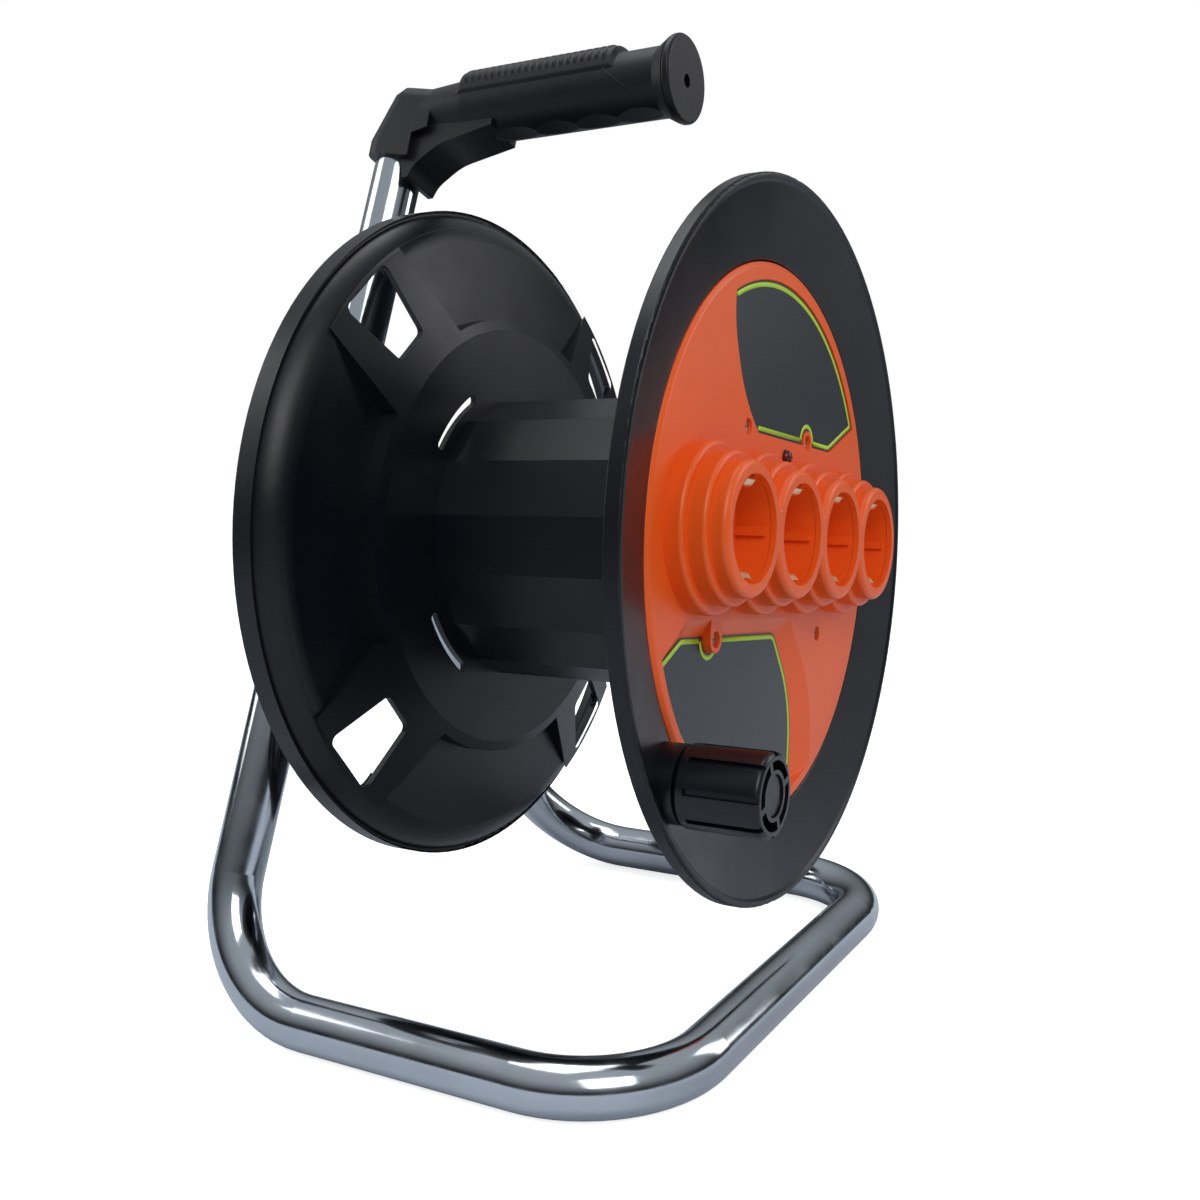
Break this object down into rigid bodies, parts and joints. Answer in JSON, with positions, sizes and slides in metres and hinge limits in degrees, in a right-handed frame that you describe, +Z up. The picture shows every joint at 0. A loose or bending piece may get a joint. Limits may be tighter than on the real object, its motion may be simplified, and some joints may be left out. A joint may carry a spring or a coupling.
{
  "type": "extension cord reel",
  "caption": "Extension cord reel: a bent steel tube stand with a carrying grip holds an empty drum with a crank knob, mains sockets and a reset button.",
  "frame": {"origin": "on the floor, under the middle of the reel's box", "axes": "+Z up; the drum's axis lies along Y with its sockets facing -Y; +X to the right of someone facing the sockets"},
  "size_m": [0.32, 0.2713, 0.4404],
  "materials": {
    "tube": "bright",
    "steel": "zinc plated",
    "grip": "fine grain",
    "drum_black": "satin",
    "orange": "satin",
    "insert": "satin",
    "brass": "bright",
    "label": "printed film",
    "knob": "satin",
    "bearing": "smooth",
    "button": "gloss",
    "grommet": "matt"
  },
  "bodies": {
    "frame": {"frame_tube": "tube", "axle_saddle": "steel", "axle": "steel", "axle_nut": "steel", "front_washer": "steel", "rear_washer": "steel", "grip_left": "grip", "grip_right": "grip", "grip_screws": "steel", "grip_end_cap": "grip"},
    "drum": {"rear_flange": "drum_black", "barrel": "drum_black", "front_flange": "drum_black", "front_tie_screws": "steel", "rear_tie_screws": "steel", "front_bush": "bearing", "rear_bush": "bearing", "cable_inlet": "grommet", "socket_panel": "orange", "panel_screws": "steel", "upper_label": "label", "lower_label": "label", "earth_busbar": "brass", "live_bar": "brass", "neutral_bar": "brass", "terminal_block": "insert", "terminal_screws": "brass", "cutout_housing": "insert", "knob_spindle": "steel", "knob_retaining_ring": "steel", "socket_insert_1": "orange", "earth_clip_1": "brass", "socket_insert_2": "orange", "earth_clip_2": "brass", "socket_insert_3": "orange", "earth_clip_3": "brass", "socket_insert_4": "orange", "earth_clip_4": "brass"},
    "knob": {"crank_knob": "knob", "knob_cap": "knob"},
    "button": {"reset_button": "button"}
  },
  "joints": [
    {"name": "drum_spin", "type": "hinge", "parent": "frame", "child": "drum", "pos_m": [0, -0.01667, 0.213], "axis": [0, 1, 0], "continuous": true},
    {"name": "knob_spin", "type": "hinge", "parent": "drum", "child": "knob", "pos_m": [-0.11407, -0.11867, 0.13012], "axis": [0, 1, 0], "continuous": true},
    {"name": "reset_press", "type": "slide", "parent": "drum", "child": "button", "axis": [0, 1, 0], "range_m": [0, 0.002], "stiffness_N_per_m": 1200, "springref_m": -0.001}
  ]
}
